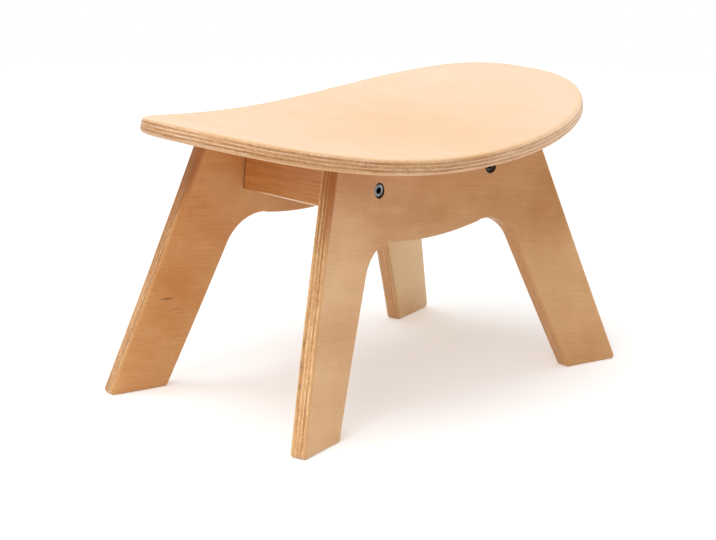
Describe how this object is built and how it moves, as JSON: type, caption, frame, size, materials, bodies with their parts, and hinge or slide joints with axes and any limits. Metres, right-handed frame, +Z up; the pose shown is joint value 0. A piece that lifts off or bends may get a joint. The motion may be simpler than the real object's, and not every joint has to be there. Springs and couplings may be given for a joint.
{
  "type": "stacking stool",
  "caption": "Low stacking stool: an oval dished plywood seat on two bent, splayed plywood side panels with arches, joined by cross rails.",
  "frame": {"origin": "on the floor, under the middle of the stool", "axes": "+X across the stool, from the left side panel to the right one; +Y along the seat's length, from front to rear; +Z up"},
  "size_m": [0.259, 0.3878, 0.2313],
  "materials": {
    "seat": "pressed birch plywood, clear matt lacquer, soft rounded rim showing the plies",
    "panel": "pressed beech plywood, clear satin lacquer, plies showing on the sawn edges",
    "rail": "solid beech, planed, clear satin lacquer",
    "dowel": "plain turned beech",
    "bolt": "dark satin steel",
    "zinc": "bright zinc-plated steel"
  },
  "bodies": {
    "root": {"seat": "seat", "left_side_panel": "panel", "right_side_panel": "panel", "front_rail": "rail", "rear_rail": "rail", "left_front_bolt": "bolt", "left_rear_bolt": "bolt", "right_front_bolt": "bolt", "right_rear_bolt": "bolt", "left_front_barrel_nut": "zinc", "left_rear_barrel_nut": "zinc", "right_front_barrel_nut": "zinc", "right_rear_barrel_nut": "zinc", "left_front_dowel": "dowel", "left_rear_dowel": "dowel", "right_front_dowel": "dowel", "right_rear_dowel": "dowel", "front_left_seat_screw": "zinc", "rear_left_seat_screw": "zinc", "front_right_seat_screw": "zinc", "rear_right_seat_screw": "zinc"}
  },
  "joints": []
}
